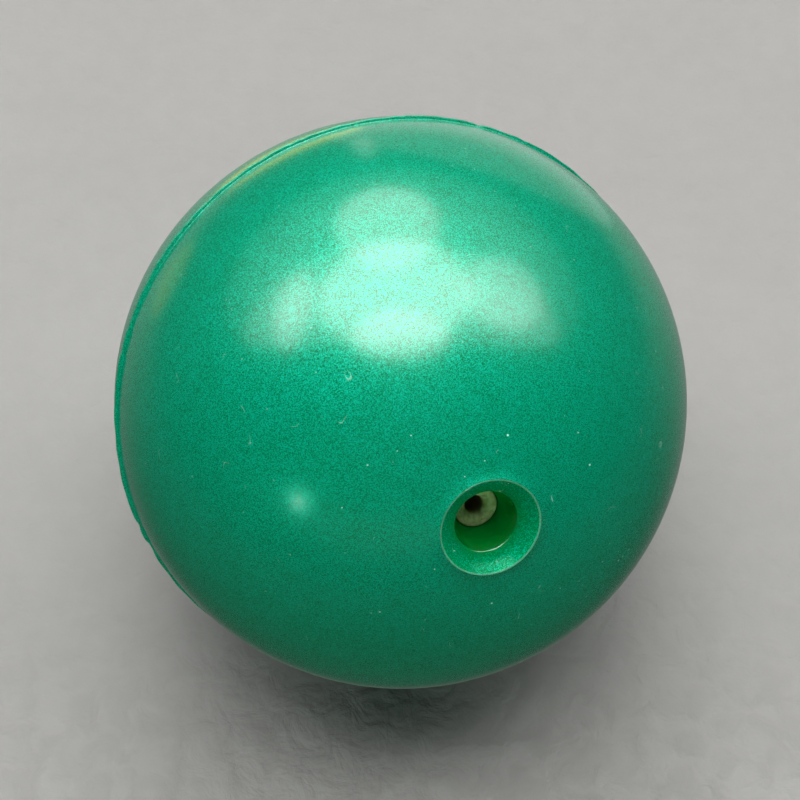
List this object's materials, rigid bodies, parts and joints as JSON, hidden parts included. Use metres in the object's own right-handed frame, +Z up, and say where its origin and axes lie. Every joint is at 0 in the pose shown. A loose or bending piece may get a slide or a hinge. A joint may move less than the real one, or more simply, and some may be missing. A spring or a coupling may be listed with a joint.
{
  "type": "juggling ball",
  "caption": "Soft hollow juggling ball of welded half shells, with a raised seam, a recessed valve seat, a pull-out rubber plug and a liquid weighting fill inside.",
  "frame": {"origin": "centre of the ball", "axes": "+Z up as the ball lies on a table; the viewer who sees the valve stands on the -Y side; the valve faces -Y, up, and a little towards +X; the seam runs round the ball tilted, with its pole near the valve"},
  "size_m": [0.07, 0.07, 0.07],
  "materials": {
    "pearl_skin": "gloss",
    "valve_green": "gloss",
    "natural_rubber": "matte",
    "silicone_liquid": "gloss"
  },
  "bodies": {
    "ball": {"valve_half_shell": "pearl_skin", "plain_half_shell": "pearl_skin", "valve_seat": "valve_green"},
    "plug": {"valve_plug": "natural_rubber"},
    "fill": {"liquid_fill": "silicone_liquid"}
  },
  "joints": [
    {"name": "plug_pull", "type": "slide", "parent": "ball", "child": "plug", "axis": [0.2792, -0.7754, 0.5664], "range_m": [0, 0.015]},
    {"name": "fill_swirl", "type": "hinge", "parent": "ball", "child": "fill", "pos_m": [0, 0, 0], "axis": [0.2792, -0.7754, 0.5664], "continuous": true}
  ]
}
